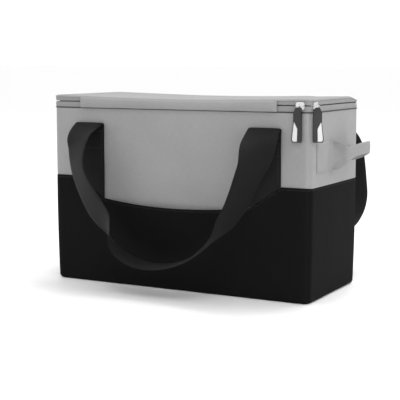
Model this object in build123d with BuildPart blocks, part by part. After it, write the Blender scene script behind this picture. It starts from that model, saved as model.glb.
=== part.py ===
# Insulated cooler bag: a fabric box with foam walls, a welded liner, a zipped lid,
# a front pocket, two webbing carry handles and a side grab handle.
#
# Frame: millimetres, +Z up. The origin is at the centre of the base's underside.
# +X points to the side with the grab handle, and the front with the pocket faces -Y.
import os
from math import cos, radians, sin

from build123d import *

os.makedirs("parts", exist_ok=True)

# ---------------------------------------------------------------- driving dimensions

# Outer body
length = 370.0              # outside, along X
depth = 158.0               # outside, along Y
corner_radius = 8.0         # vertical corners, outside
seam_height = 141.0         # where the black lower panels meet the grey upper ones
rim_height = 231.0          # top of the body's walls
lid_rise = 16.0             # walls' top to the top of the closed lid

# Layers of the walls, from outside to inside
shell = 1.2                 # outer fabric
foam = 6.0                  # insulation
liner = 0.8                 # welded film
board = 2.5                 # stiffener in the base
layer_gap = 0.2             # between loose layers
inner_corner = 1.5          # vertical corners of the foam's inside and of the liner

# Zipper round the front and both sides
tape = 0.8                  # fabric tape's thickness
coil = 1.6                  # nylon coil, square across
slit = 1.4                  # between the two coils
slit_rise = 8.0             # walls' top to the middle of the slit
rim_piping = 0.4            # dark cord under the zipper, how far it stands out
rim_piping_height = 1.6
lid_piping = 0.8            # binding round the lid's top edge, how far it stands out
lid_piping_height = 2.0
fold_gap = 2.0              # free fabric between the two halves of the hinge strip
slider_room = 5.0           # the lid's foam stays this far inside, clear of the sliders

# Sliders and pulls
slider_length = 11.0
slider_height = 8.8
plate = 1.2                 # each of a slider's two plates
slider_clearance = 0.4      # plate to tape, plate to coil, and bridge to coil
inner_plate_length = 6.0
front_slider_inset = 14.0   # right side to the middle of the front slider
side_slider_inset = 10.0    # front to the middle of the side slider
bail_wire = 1.2
bail_length = 9.6
bail_reach = 3.6            # tape's face to the middle of the bail's bar
eye_offset = -2.2           # the pull hangs off the middle of the bail, near the corner
eye_width = 2.4
eye_wall = 0.65
eye_clearance = 0.1
tongue_drop = 8.0           # link's tongue, from the bail down into the tab
tongue = 1.0
tab_thickness = 2.4
tab_width = 10.4
tab_flare = 2.4             # extra width low on the tab's outer side
tab_top = 1.8               # below the bail
tab_bottom = 43.2
tab_shoulder = 6.0
side_tab_turn = 50.0        # degrees that the side tab is turned towards the front
side_tab_offset = 2.6       # how far it stands in front of its link
inset_depth = 0.6
inset_edge = 1.2            # black edge left round the insert
inset_proud = 0.3

# Storm flap over the front of the zipper
flap_inset = 44.0           # bag's side to the flap's end
flap = 1.4
flap_drop = 14.6            # hinge line down to the free edge
flap_bulge = 3.0            # hinge line out to the outside face
flap_gap = 1.1              # lid's piping out to the flap's hinge line

# Webbing and handles
webbing_width = 42.0
webbing = 2.0
strap_spacing = 252.0       # between the middles of a handle's two straps
fold_drop = 19.0            # walls' top to the fold where a strap turns into the handle
knuckle_radius = 3.5        # outside of that fold
knuckle_inset = 0.2         # the fold is this much narrower at each edge
fold_clearance = 0.3        # top of a sewn strap to the fold above it
back_strap_bottom = 24.0

# Front pocket
mouth_drop = 28.0           # seam to the pocket's mouth at the straps' inner edges
mouth_dip = 6.0             # how much lower the mouth is at its middle
pocket_bulge = 9.5
pocket_floor = 6.0
pocket_clearance = 0.4      # pocket's edge to the straps above it
pocket_slack = 0.4          # how far the pocket stands off at its floor
bulge_levels = 5

# Grab handle on the right side
patch_inset = 16.0          # front to the sewn patch
patch_width = 41.0
patch_height = 36.4
patch_drop = 36.6           # walls' top to the patch
patch = 1.5
anchor_inset = 13.0         # back to the place where the handle's other end is sewn down
anchor_width = 18.0
anchor_drop = 56.5          # walls' top to the middle of that place
band_height = 18.0
band = 3.0

# Zipper end stops, near the back of each side
stop_inset = 11.0           # back to the middle of a stop
stop_length = 3.0
stop_height = 3.0

# ---------------------------------------------------------------- derived sizes

half_length = length / 2
half_depth = depth / 2
lid_top = rim_height + lid_rise
slit_height = rim_height + slit_rise
fold_top = rim_height - fold_drop
mouth_corner = seam_height - mouth_drop
front_slider_x = half_length - front_slider_inset
side_slider_y = side_slider_inset - half_depth
flap_length = length - 2 * flap_inset
stop_y = half_depth - stop_inset
strap_x = strap_spacing / 2
overlay = -(layer_gap + shell)                  # inset of a layer outside the shell
foam_inset = shell + layer_gap
liner_inset = foam_inset + foam + layer_gap
cavity_inset = liner_inset + liner
board_bottom = shell + layer_gap
base_foam_bottom = board_bottom + board + layer_gap
floor_bottom = base_foam_bottom + foam + layer_gap
coil_low_top = slit_height - slit / 2
coil_high_bottom = slit_height + slit / 2
tape_bottom = rim_height + layer_gap
lid_skin_bottom = lid_top - shell
lid_foam_bottom = lid_skin_bottom - layer_gap - foam
lid_liner_bottom = lid_foam_bottom - layer_gap - liner
hinge_y = half_depth - shell / 2
hinge_z = slit_height + 0.5
strap_inner_face = half_depth + layer_gap
strap_outer_face = strap_inner_face + webbing
axis_y = strap_inner_face + knuckle_radius      # fold axis, from the middle plane
axis_z = fold_top - knuckle_radius
strap_top = axis_z - knuckle_radius - fold_clearance
strap_edge_in = strap_x - webbing_width / 2
strap_edge_out = strap_x + webbing_width / 2
flap_axis_y = -(half_depth + lid_piping + flap_gap)
flap_axis_z = lid_top - flap


def finish(part, name):
    """Label a finished piece and write it."""
    part.part.label = name
    export_step(part.part, f"parts/{name}.step")


# ---------------------------------------------------------------- walls and rings

def corner(inset):
    """Vertical corner radius of a layer that lies this far inside the shell's face."""
    return max(corner_radius - inset, inner_corner)


def outline(inset, mode=Mode.ADD):
    """The bag's rounded outline, moved inwards."""
    RectangleRounded(length - 2 * inset, depth - 2 * inset, corner(inset), mode=mode)


def sector(side):
    """Corner points of the part of the plan that belongs to one wall, mitred at the corners."""
    reach = depth / 3
    far_x, far_y = half_length + reach, half_depth + reach
    near_x, near_y = half_length - reach, half_depth - reach
    quarter = {
        "front": [(-far_x, -far_y), (far_x, -far_y), (near_x, -near_y), (-near_x, -near_y)],
        "back": [(far_x, far_y), (-far_x, far_y), (-near_x, near_y), (near_x, near_y)],
        "right": [(far_x, -far_y), (far_x, far_y), (near_x, near_y), (near_x, -near_y)],
        "left": [(-far_x, far_y), (-far_x, -far_y), (-near_x, -near_y), (-near_x, near_y)],
    }
    return quarter[side]


def wall(side, inset, thickness, bottom, top):
    """One wall of the bag: a slice of a rounded tube, mitred at its two corners."""
    with BuildPart() as piece:
        with BuildSketch(Plane.XY.offset(bottom)):
            outline(inset)
            outline(inset + thickness, mode=Mode.SUBTRACT)
            with BuildSketch(mode=Mode.INTERSECT):
                Polygon(*sector(side), align=None)
        extrude(amount=top - bottom)
    return piece


def ring(inset, thickness, bottom, top, open_back=False):
    """A band all round the bag, or round the front and both sides only."""
    with BuildPart() as piece:
        with BuildSketch(Plane.XY.offset(bottom)):
            outline(inset)
            outline(inset + thickness, mode=Mode.SUBTRACT)
            if open_back:
                with BuildSketch(mode=Mode.SUBTRACT):
                    Polygon(*sector("back"), align=None)
        extrude(amount=top - bottom)
    return piece


def slab(inset, bottom, top):
    """A flat layer with the bag's outline."""
    with BuildPart() as piece:
        with BuildSketch(Plane.XY.offset(bottom)):
            outline(inset)
        extrude(amount=top - bottom)
    return piece


# The front is one grey panel from base to rim; the black pocket panel covers its lower part.
finish(wall("front", 0, shell, 0, rim_height), "front_panel")

# The other three sides are a black lower panel sewn to a grey upper one.
for side in ("back", "left", "right"):
    finish(wall(side, 0, shell, 0, seam_height), f"{side}_lower_panel")
    finish(wall(side, 0, shell, seam_height, rim_height), f"{side}_upper_panel")

# Insulation: four wall sheets standing on the base's sheet.
for side in ("front", "back", "left", "right"):
    finish(wall(side, foam_inset, foam, floor_bottom, rim_height), f"{side}_foam")

finish(slab(foam_inset, 0, shell), "bottom_panel")
finish(slab(foam_inset, board_bottom, board_bottom + board), "base_board")
finish(slab(foam_inset, base_foam_bottom, base_foam_bottom + foam), "base_foam")

# The welded liner is one open tub.
with BuildPart() as liner_tub:
    with BuildSketch(Plane.XY.offset(floor_bottom)):
        outline(liner_inset)
    extrude(amount=rim_height - floor_bottom)
    with BuildSketch(Plane.XY.offset(floor_bottom + liner)):
        outline(cavity_inset)
    extrude(amount=rim_height - floor_bottom - liner, mode=Mode.SUBTRACT)
finish(liner_tub, "liner_tub")

# The binding closes the top of the walls over the foam and the liner's edge.
finish(
    ring(foam_inset, cavity_inset - foam_inset, tape_bottom, tape_bottom + 1.0),
    "rim_binding",
)
finish(
    ring(-rim_piping, rim_piping - 0.1, rim_height - 1.0, rim_height - 1.0 + rim_piping_height),
    "rim_piping",
)

# ---------------------------------------------------------------- zipper

finish(ring(0, tape, tape_bottom, coil_low_top, open_back=True), "zipper_tape_lower")
finish(
    ring(tape, coil, coil_low_top - coil, coil_low_top, open_back=True),
    "zipper_coil_lower",
)
finish(
    ring(0, tape, coil_high_bottom, lid_skin_bottom - layer_gap, open_back=True),
    "zipper_tape_upper",
)
finish(
    ring(tape, coil, coil_high_bottom, coil_high_bottom + coil, open_back=True),
    "zipper_coil_upper",
)

# End stops, one on each side, on the outside of the lower tape.
with BuildPart() as zipper_end_stops:
    for edge in (-1, 1):
        face = Plane(origin=(edge * half_length, stop_y, coil_low_top), z_dir=(edge, 0, 0),
                     x_dir=(0, 1, 0))
        with BuildSketch(face):
            with Locations((0, -edge * stop_height / 2)):
                RectangleRounded(stop_length, stop_height, 0.6)
        extrude(amount=tape)
finish(zipper_end_stops, "zipper_end_stops")

# ---------------------------------------------------------------- hinge strip and lid

# One strip of fabric joins body and lid along the back. Its free middle is the fold, so the
# half on the body and the half on the lid are two solids.
finish(wall("back", 0, shell, tape_bottom, hinge_z - fold_gap / 2), "hinge_strip_body_half")
finish(
    wall("back", 0, shell, hinge_z + fold_gap / 2, lid_skin_bottom - layer_gap),
    "hinge_strip_lid_half",
)
finish(slab(0, lid_skin_bottom, lid_top), "lid_panel")
finish(
    ring(-lid_piping - 0.1, lid_piping, lid_top - lid_piping_height, lid_top),
    "lid_piping",
)
finish(slab(slider_room, lid_foam_bottom, lid_foam_bottom + foam), "lid_foam")
finish(slab(slider_room - 0.4, lid_liner_bottom, lid_liner_bottom + liner), "lid_liner")

# The storm flap hangs from the lid's front edge over the zipper.
with BuildPart() as storm_flap:
    with BuildSketch(Plane.YZ.offset(-flap_length / 2)):
        with BuildLine():
            top = (flap_axis_y + 0.5, flap_axis_z + 0.7)
            shoulder = (flap_axis_y - flap_bulge + 0.2, flap_axis_z - 3.2)
            outside = (flap_axis_y - flap_bulge, flap_axis_z - 9.0)
            lip = (flap_axis_y - flap_bulge + 0.8, flap_axis_z - flap_drop)
            Spline(top, shoulder, outside, lip)
            Line(lip, (lip[0] + flap, lip[1]))
            Spline(
                (lip[0] + flap, lip[1]),
                (outside[0] + flap, outside[1]),
                (shoulder[0] + flap, shoulder[1] - 0.3),
                (top[0], top[1] - 1.7),
            )
            Line((top[0], top[1] - 1.7), top)
        make_face()
    extrude(amount=flap_length)
finish(storm_flap, "storm_flap")

# ---------------------------------------------------------------- sliders and pulls

front_face = Plane(
    origin=(front_slider_x, -half_depth, slit_height), x_dir=(1, 0, 0), z_dir=(0, -1, 0)
)
side_face = Plane(
    origin=(half_length, side_slider_y, slit_height), x_dir=(0, 1, 0), z_dir=(1, 0, 0)
)


def slider_body(face):
    """Two plates either side of the tapes, joined by a bridge through the slit."""
    inner_face = -(tape + coil + slider_clearance)
    with BuildPart() as piece:
        with BuildSketch(face.offset(slider_clearance)):
            RectangleRounded(slider_length, slider_height, 2.2)
        extrude(amount=plate)
        with BuildSketch(face.offset(inner_face - plate)):
            RectangleRounded(inner_plate_length, slider_height - 1.0, 1.5)
        extrude(amount=plate)
        with BuildSketch(face.offset(inner_face)):
            Rectangle(inner_plate_length * 0.6, slit - 2 * slider_clearance)
        extrude(amount=slider_clearance - inner_face)
    return piece


def bail(face):
    """A wire staple on the slider's outer plate, which the pull hangs from."""
    foot = slider_clearance + plate
    with BuildPart() as piece:
        with BuildSketch(face.offset(foot)):
            with GridLocations(bail_length - bail_wire, 0, 2, 1):
                Rectangle(bail_wire, bail_wire)
        extrude(amount=bail_reach - foot)
        bar = Plane(
            origin=face.from_local_coords((-bail_length / 2, 0, bail_reach)),
            x_dir=face.z_dir,
            z_dir=face.x_dir,
        )
        with BuildSketch(bar):
            Circle(bail_wire / 2)
        extrude(amount=bail_length)
    return piece


def pull_link(face, clearance=0.0):
    """An eye round the bail's bar with a tongue that goes down into the tab."""
    bore = bail_wire / 2 + eye_clearance
    bar = Plane(
        origin=face.from_local_coords((eye_offset - eye_width / 2, 0, bail_reach)),
        x_dir=face.z_dir,
        z_dir=face.x_dir,
    )
    tongue_top = bore + eye_wall / 2
    with BuildPart() as piece:
        with BuildSketch(bar):
            Circle(bore + eye_wall)
        extrude(amount=eye_width)
        with BuildSketch(face.offset(bail_reach - tongue / 2 - clearance)):
            with Locations((eye_offset, -(tongue_top + tongue_drop) / 2)):
                Rectangle(eye_width + 2 * clearance, tongue_drop - tongue_top + 2 * clearance)
        extrude(amount=tongue + 2 * clearance)
        with BuildSketch(bar):
            Circle(bore)
        extrude(amount=eye_width, mode=Mode.SUBTRACT)
    return piece


def tab_plane(face, turn, stand_off):
    """The tab's middle plane: upright, on the link's centre line, turned about it."""
    centre = face.from_local_coords((eye_offset, 0, bail_reach))
    along, normal = (way.rotate(Axis.Z, -turn) for way in (face.x_dir, face.z_dir))
    return Plane(origin=centre, x_dir=along, z_dir=normal).offset(stand_off)


def tab_outline(flare):
    """Tab seen from the front: sloped shoulders, with a flare low on one side."""
    half = tab_width / 2
    Polygon(
        (-flare * (half - tab_shoulder / 2), -tab_top),
        (-flare * half, -tab_top - tab_shoulder),
        (-flare * half, -tab_bottom),
        (flare * (half + tab_flare - 1.2), -tab_bottom),
        (flare * (half + tab_flare), -tab_bottom + 3.0),
        (flare * half, -tab_bottom / 2),
        (flare * half, -tab_top - tab_shoulder),
        (flare * (half - tab_shoulder / 2), -tab_top),
        align=None,
    )


def inset_outline(flare):
    """The light insert fills the tab's flared lower corner and ends in a point."""
    half = tab_width / 2
    Polygon(
        (flare * (half - inset_edge), -tab_bottom + 24.0),
        (flare * -0.2, -tab_bottom + 16.0),
        (flare * 0.2, -tab_bottom + inset_edge),
        (flare * (half + tab_flare - inset_edge - 1.0), -tab_bottom + inset_edge),
        (flare * (half + tab_flare - inset_edge), -tab_bottom + 3.6),
        align=None,
    )


def pull_tab(face, plane, flare):
    """Moulded tab with a slot for the link and a recess for the insert."""
    link_room = pull_link(face, clearance=eye_clearance)
    with BuildPart() as piece:
        with BuildSketch(plane.offset(-tab_thickness / 2)) as profile:
            tab_outline(flare)
            fillet(profile.vertices(), radius=1.0)
        extrude(amount=tab_thickness)
        with BuildSketch(plane.offset(tab_thickness / 2 - inset_depth)):
            inset_outline(flare)
            offset(amount=0.05, kind=Kind.INTERSECTION)
        extrude(amount=inset_depth, mode=Mode.SUBTRACT)
        add(link_room.part, mode=Mode.SUBTRACT)
    return piece


def pull_inset(plane, flare):
    """The light insert, seated in the tab's recess and standing a little proud."""
    with BuildPart() as piece:
        with BuildSketch(plane.offset(tab_thickness / 2 - inset_depth)):
            inset_outline(flare)
        extrude(amount=inset_depth + inset_proud)
    return piece


for name, face, flare, turn, stand_off in (
    ("front", front_face, -1, 0.0, 0.0),
    ("side", side_face, 1, side_tab_turn, side_tab_offset),
):
    plane = tab_plane(face, turn, stand_off)
    finish(slider_body(face), f"{name}_slider")
    finish(bail(face), f"{name}_slider_bail")
    finish(pull_link(face), f"{name}_pull_link")
    finish(pull_tab(face, plane, flare), f"{name}_pull_tab")
    finish(pull_inset(plane, flare), f"{name}_pull_inset")

# ---------------------------------------------------------------- front pocket

# The black panel lies over the grey front. Between the straps it is loose and bulges to hold
# things, and its mouth dips from strap to strap.
with BuildPart() as pocket_panel:
    panel_face = -(half_depth - overlay)            # outside face of the flat part
    with BuildSketch():
        outline(overlay)
        outline(overlay + shell, mode=Mode.SUBTRACT)
        with BuildSketch(mode=Mode.INTERSECT):
            Polygon(*sector("front"), align=None)
    extrude(amount=seam_height)
    with BuildSketch(Plane.XZ.offset(half_depth)):
        with Locations((0, pocket_floor)):
            Rectangle(2 * strap_edge_in, seam_height, align=(Align.CENTER, Align.MIN))
    extrude(amount=2 * shell, mode=Mode.SUBTRACT)
    for level in range(bulge_levels):
        share = level / (bulge_levels - 1)
        height = pocket_floor + share * (seam_height - pocket_floor)
        bulge = pocket_slack + pocket_bulge * sin(radians(90 * share**0.8))
        with BuildSketch(Plane.XY.offset(height)):
            with BuildLine():
                ends = [(-strap_edge_in, panel_face), (strap_edge_in, panel_face)]
                backs = [(x, panel_face + shell) for x, _ in ends]
                ThreePointArc(ends[0], (0, panel_face - bulge), ends[1])
                Line(ends[1], backs[1])
                ThreePointArc(backs[1], (0, panel_face + shell - bulge), backs[0])
                Line(backs[0], ends[0])
            make_face()
    loft()
    with BuildSketch(Plane.XZ.offset(half_depth)):
        with BuildLine():
            corners = [(strap_edge_in, mouth_corner), (strap_edge_out, seam_height)]
            ThreePointArc(
                (-strap_edge_in, mouth_corner), (0, mouth_corner - mouth_dip), (strap_edge_in, mouth_corner)
            )
            Line(*corners)
            Line((strap_edge_out, seam_height), (strap_edge_out, seam_height + 5))
            Line((strap_edge_out, seam_height + 5), (-strap_edge_out, seam_height + 5))
            Line((-strap_edge_out, seam_height + 5), (-strap_edge_out, seam_height))
            Line((-strap_edge_out, seam_height), (-strap_edge_in, mouth_corner))
        make_face()
    extrude(amount=4 * pocket_bulge, mode=Mode.SUBTRACT)
finish(pocket_panel, "pocket_panel")

# ---------------------------------------------------------------- webbing and handles

# A handle's path: points (x, y, z) on the middle line and the turn of the webbing's width, in
# degrees from along X towards the viewer. Places are measured from the fold's axis. The webbing
# stays flat down its two legs, and twists on edge between them and the bottom of the loop.
front_path = [
    (-strap_x, -2.0, -1.2, 0),
    (-strap_x - 2.0, -17.0, -9.0, 12),
    (-strap_x, -27.0, -21.0, 24),
    (-strap_x + 2.0, -34.0, -40.0, 32),
    (-strap_x + 5.0, -36.0, -56.0, 33),
    (-strap_x + 13.0, -37.0, -74.0, 29),
    (-strap_x + 23.0, -37.0, -90.0, 23),
    (-strap_x + 34.0, -37.0, -105.0, 21),
    (-strap_x + 45.0, -38.0, -117.0, 27),
    (-strap_x + 52.0, -39.0, -129.0, 44),
    (-strap_x + 59.0, -40.0, -143.0, 62),
    (-strap_x + 71.0, -42.0, -156.0, 72),
    (-strap_x + 91.0, -43.0, -166.0, 80),
    (-12.0, -44.0, -170.0, 84),
    (13.0, -45.0, -168.0, 84),
    (34.0, -45.0, -162.0, 80),
    (strap_x - 74.0, -45.0, -153.0, 77),
    (strap_x - 59.0, -44.0, -141.0, 77),
    (strap_x - 47.0, -43.0, -130.0, 83),
    (strap_x - 37.0, -41.0, -118.0, 96),
    (strap_x - 30.0, -39.0, -106.0, 106),
    (strap_x - 20.0, -37.0, -90.0, 111),
    (strap_x - 13.0, -35.0, -73.0, 113),
    (strap_x - 6.0, -33.0, -54.0, 118),
    (strap_x, -31.0, -38.0, 127),
    (strap_x + 2.5, -26.0, -21.0, 148),
    (strap_x + 2.0, -17.0, -9.0, 168),
    (strap_x, -2.0, -1.2, 180),
]

# The back handle has swung towards the grab handle, so its list is the whole loop.
back_path = [
    (-strap_x, 2.0, -1.2, 0),
    (-strap_x + 5.0, 17.0, -10.0, 8),
    (-strap_x + 15.0, 31.0, -27.0, 16),
    (-strap_x + 29.0, 42.0, -48.0, 26),
    (-strap_x + 48.0, 51.0, -72.0, 38),
    (-strap_x + 71.0, 58.0, -96.0, 52),
    (-strap_x + 99.0, 64.0, -118.0, 66),
    (4.0, 69.0, -136.0, 78),
    (38.0, 72.0, -150.0, 90),
    (72.0, 75.0, -158.0, 101),
    (105.0, 76.0, -158.0, 112),
    (strap_x + 8.0, 76.0, -148.0, 124),
    (strap_x + 20.0, 73.0, -129.0, 135),
    (strap_x + 26.0, 70.0, -106.0, 146),
    (strap_x + 26.0, 64.0, -78.0, 153),
    (strap_x + 25.5, 57.0, -53.0, 158),
    (strap_x + 26.0, 47.0, -33.0, 162),
    (strap_x + 23.0, 34.0, -18.0, 167),
    (strap_x + 13.0, 18.0, -7.0, 174),
    (strap_x, 2.0, -1.2, 180),
]


def ribbon(path, side):
    """Webbing lofted along a path, with a round knuckle at each end about the fold's axis."""
    points = [Vector(x, side * axis_y + y, axis_z + z) for x, y, z, _ in path]
    with BuildPart() as piece:
        for i, (point, (_, _, _, turn)) in enumerate(zip(points, path)):
            before, after = points[max(i - 1, 0)], points[min(i + 1, len(points) - 1)]
            along = after - before
            if i in (0, len(points) - 1):
                along.X = 0
            along = along.normalized()
            across = Vector(cos(radians(turn)), -sin(radians(turn)), 0)
            across = (across - along * across.dot(along)).normalized()
            with BuildSketch(Plane(origin=point, x_dir=across, z_dir=along)):
                Rectangle(webbing_width, webbing)
        loft(ruled=True)
        for x in (-strap_x, strap_x):
            axle = Plane(origin=(x, side * axis_y, axis_z), x_dir=(0, 1, 0), z_dir=(1, 0, 0))
            with BuildSketch(axle.offset(knuckle_inset - webbing_width / 2)):
                Circle(knuckle_radius)
            extrude(amount=webbing_width - 2 * knuckle_inset)
    return piece


def fixed_strap(x, side, bottom):
    """A strip of webbing sewn flat to the front or back, up to just below its fold."""
    with BuildPart() as piece:
        with BuildSketch(Plane.XZ.offset(-side * strap_inner_face)):
            with BuildLine():
                inner, outer = x - webbing_width / 2, x + webbing_width / 2
                low_inner, low_outer = bottom
                Polyline(
                    (inner, low_inner), (outer, low_outer), (outer, strap_top),
                    (inner, strap_top), close=True,
                )
            make_face()
        extrude(amount=-side * webbing)
    return piece


# The front straps end just above the pocket's slanted corners.
mouth_side, mouth_seam = (z + pocket_clearance for z in (mouth_corner, seam_height))
finish(fixed_strap(-strap_x, -1, (mouth_seam, mouth_side)), "front_strap_left")
finish(fixed_strap(strap_x, -1, (mouth_side, mouth_seam)), "front_strap_right")
finish(fixed_strap(-strap_x, 1, (back_strap_bottom,) * 2), "back_strap_left")
finish(fixed_strap(strap_x, 1, (back_strap_bottom,) * 2), "back_strap_right")
finish(ribbon(front_path, -1), "front_handle")
finish(ribbon(back_path, 1), "back_handle")

# ---------------------------------------------------------------- grab handle

side_skin = half_length + layer_gap
patch_front = patch_inset - half_depth
patch_back = patch_front + patch_width
patch_top = rim_height - patch_drop
patch_bottom = patch_top - patch_height
anchor_back = half_depth - anchor_inset
anchor_front = anchor_back - anchor_width
anchor_height = rim_height - anchor_drop
with BuildPart() as grab_patch:
    with BuildSketch(Plane.YZ.offset(side_skin)):
        with Locations(((patch_front + patch_back) / 2, (patch_bottom + patch_top) / 2)):
            RectangleRounded(patch_back - patch_front, patch_top - patch_bottom, 1.5)
    extrude(amount=patch)
finish(grab_patch, "grab_handle_patch")

with BuildPart() as grab_anchor:
    with BuildSketch(Plane.YZ.offset(side_skin)):
        with Locations(((anchor_front + anchor_back) / 2, anchor_height)):
            RectangleRounded(anchor_back - anchor_front, band_height, 1.5)
    extrude(amount=patch)
finish(grab_anchor, "grab_handle_anchor")

# The loop leaves the patch at the patch's full height, narrows to a folded band that stands
# out and up, turns, and comes back to the anchor. Each station is (outwards, along, z, height),
# with the places along the side drawn for a loop of this span.
loop_span = 70.0
patch_middle = (patch_bottom + patch_top) / 2
loop_stations = [
    (0.8, 0.3, patch_middle, patch_height - 1),
    (5.0, 4.0, patch_middle + 0.3, patch_height - 4),
    (12.0, 8.5, patch_middle + 0.8, 24.0),
    (19.0, 13.0, patch_middle + 1.4, band_height),
    (28.0, 20.0, patch_middle + 4.5, band_height - 1),
    (36.0, 28.0, patch_middle + 8.0, band_height - 2),
    (40.5, 36.0, patch_middle + 9.0, band_height - 2),
    (40.5, 44.0, patch_middle + 9.0, band_height - 2),
    (35.0, 51.0, patch_middle + 7.5, band_height - 1),
    (25.0, 57.0, anchor_height + 6.0, band_height),
    (12.0, 63.0, anchor_height + 2.0, band_height),
    (4.0, 66.5, anchor_height + 0.5, band_height - 1),
    (0.8, 69.7, anchor_height, band_height - 1),
]
loop_reach = (anchor_front - patch_back) / loop_span
with BuildPart() as grab_loop:
    spots = [
        Vector(side_skin + out, patch_back + along * loop_reach, z)
        for out, along, z, _ in loop_stations
    ]
    for i, (spot, (_, _, _, height)) in enumerate(zip(spots, loop_stations)):
        before, after = spots[max(i - 1, 0)], spots[min(i + 1, len(spots) - 1)]
        along = after - before
        if i in (0, len(spots) - 1):
            along = Vector(0, 1, 0)
        along = Vector(along.X, along.Y, 0).normalized()
        thickness = patch if i in (0, len(spots) - 1) else band
        with BuildSketch(Plane(origin=spot, x_dir=(0, 0, 1), z_dir=along)):
            Rectangle(height, thickness)
    loft(ruled=True)
finish(grab_loop, "grab_handle_loop")
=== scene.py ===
# %% [markdown]
# # An insulated cooler bag
# The bag is a soft box: grey cloth above a black pocket, foam in every wall, a shiny liner, a
# zipped lid, two webbing handles and a small grab handle on the right side. The CAD model fixes
# where everything is and how it moves. Here each soft piece gets the look of sewn cloth, and the
# hard pieces keep their CAD shape and get better materials.

# %% Load the CAD model as the frame
import math

import bmesh
import bpy
import numpy as np
from mathutils import Matrix, Vector, noise


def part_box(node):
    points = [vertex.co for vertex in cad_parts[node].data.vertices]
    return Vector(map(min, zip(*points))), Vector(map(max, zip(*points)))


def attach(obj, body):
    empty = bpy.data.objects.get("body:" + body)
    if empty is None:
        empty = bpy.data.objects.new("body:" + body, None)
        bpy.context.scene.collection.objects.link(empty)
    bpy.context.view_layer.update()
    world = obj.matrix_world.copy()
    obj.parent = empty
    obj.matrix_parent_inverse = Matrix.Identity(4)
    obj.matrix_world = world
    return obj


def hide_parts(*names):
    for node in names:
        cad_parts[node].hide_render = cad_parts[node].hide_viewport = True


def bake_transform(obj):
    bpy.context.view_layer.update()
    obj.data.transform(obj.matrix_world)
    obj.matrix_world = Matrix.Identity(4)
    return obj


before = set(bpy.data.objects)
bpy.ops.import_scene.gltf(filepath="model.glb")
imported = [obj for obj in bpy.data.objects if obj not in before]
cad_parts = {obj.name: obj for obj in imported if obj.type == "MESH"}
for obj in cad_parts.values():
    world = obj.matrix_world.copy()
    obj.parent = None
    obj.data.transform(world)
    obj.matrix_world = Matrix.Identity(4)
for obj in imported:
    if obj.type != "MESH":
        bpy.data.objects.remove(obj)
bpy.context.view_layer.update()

mm = 0.001

# %% [markdown]
# ## Camera and studio
# A product shot needs a pale floor that runs out of view, a bright surrounding that fills the
# shadows, and large soft lights. The camera looks from the front right, a little above the lid.

# %% Aim the camera
azimuth, elevation = math.radians(28.295), math.radians(7.254)
back = Vector((
    math.sin(azimuth) * math.cos(elevation),
    -math.cos(azimuth) * math.cos(elevation),
    math.sin(elevation),
))
right = Vector((math.cos(azimuth), math.sin(azimuth), 0))
camera = bpy.data.objects.new("camera", bpy.data.cameras.new("camera"))
camera.data.lens = 97.64
camera.data.sensor_width = 36
camera.matrix_world = Matrix.Translation((0.67467, -1.26513, 0.29036)) @ Matrix(
    (right, back.cross(right), back)
).transposed().to_4x4()
bpy.context.scene.collection.objects.link(camera)
bpy.context.scene.camera = camera
print("camera looks from", [round(x, 3) for x in camera.location])


# %% Lights and surroundings
def softbox(name, place, target, size, watts):
    """A square area light that faces its target."""
    light = bpy.data.lights.new(name, "AREA")
    light.size, light.energy = size, watts
    holder = bpy.data.objects.new(name, light)
    holder.location = place
    aim = Vector(target) - Vector(place)
    holder.rotation_euler = aim.to_track_quat("-Z", "Y").to_euler()
    bpy.context.scene.collection.objects.link(holder)
    return holder


softbox("key_light", (0.8, -1.3, 2.0), (0, 0, 0.12), 0.9, 11)
softbox("side_light", (1.9, -0.3, 1.2), (0.1, 0, 0.12), 0.9, 7)
softbox("top_light", (0.2, 0.7, 2.2), (0, 0, 0.15), 1.0, 22)
world = bpy.data.worlds.new("studio")
bpy.context.scene.world = world
world.use_nodes = True
world.node_tree.nodes["Background"].inputs["Color"].default_value = (1, 1, 1, 1)
world.node_tree.nodes["Background"].inputs["Strength"].default_value = 1.04
bpy.context.scene.view_settings.view_transform = "Standard"
print("three softboxes and a white surrounding")

# %% [markdown]
# ## Writing materials as sums
# A material in Blender is a graph of nodes, and a graph for woven cloth has dozens of them. It is
# easier to read as a formula, so a small class wraps one output of a node, and Python's + and *
# make the Math nodes. Every other node comes from one method of the material's own class.

# %% A number that varies over a surface
class Pattern:
    """One output of a node. Arithmetic on it adds Math nodes."""

    def __init__(self, finish, socket):
        self.finish, self.socket = finish, socket

    def maths(self, operation, *numbers):
        """A Math node on this value and others, which are numbers or patterns."""
        return self.finish.node("Math", {"operation": operation}, dict(enumerate(numbers)))

    def __add__(self, other):
        return self.maths("ADD", self, other)

    def __sub__(self, other):
        return self.maths("SUBTRACT", self, other)

    def __rsub__(self, other):
        return self.maths("SUBTRACT", other, self)

    def __mul__(self, other):
        return self.maths("MULTIPLY", self, other)

    __radd__, __rmul__ = __add__, __mul__

    def wave(self):
        """The sine of this value."""
        return self.maths("SINE", self)

    def size(self):
        """This value without its sign."""
        return self.maths("ABSOLUTE", self)


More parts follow.
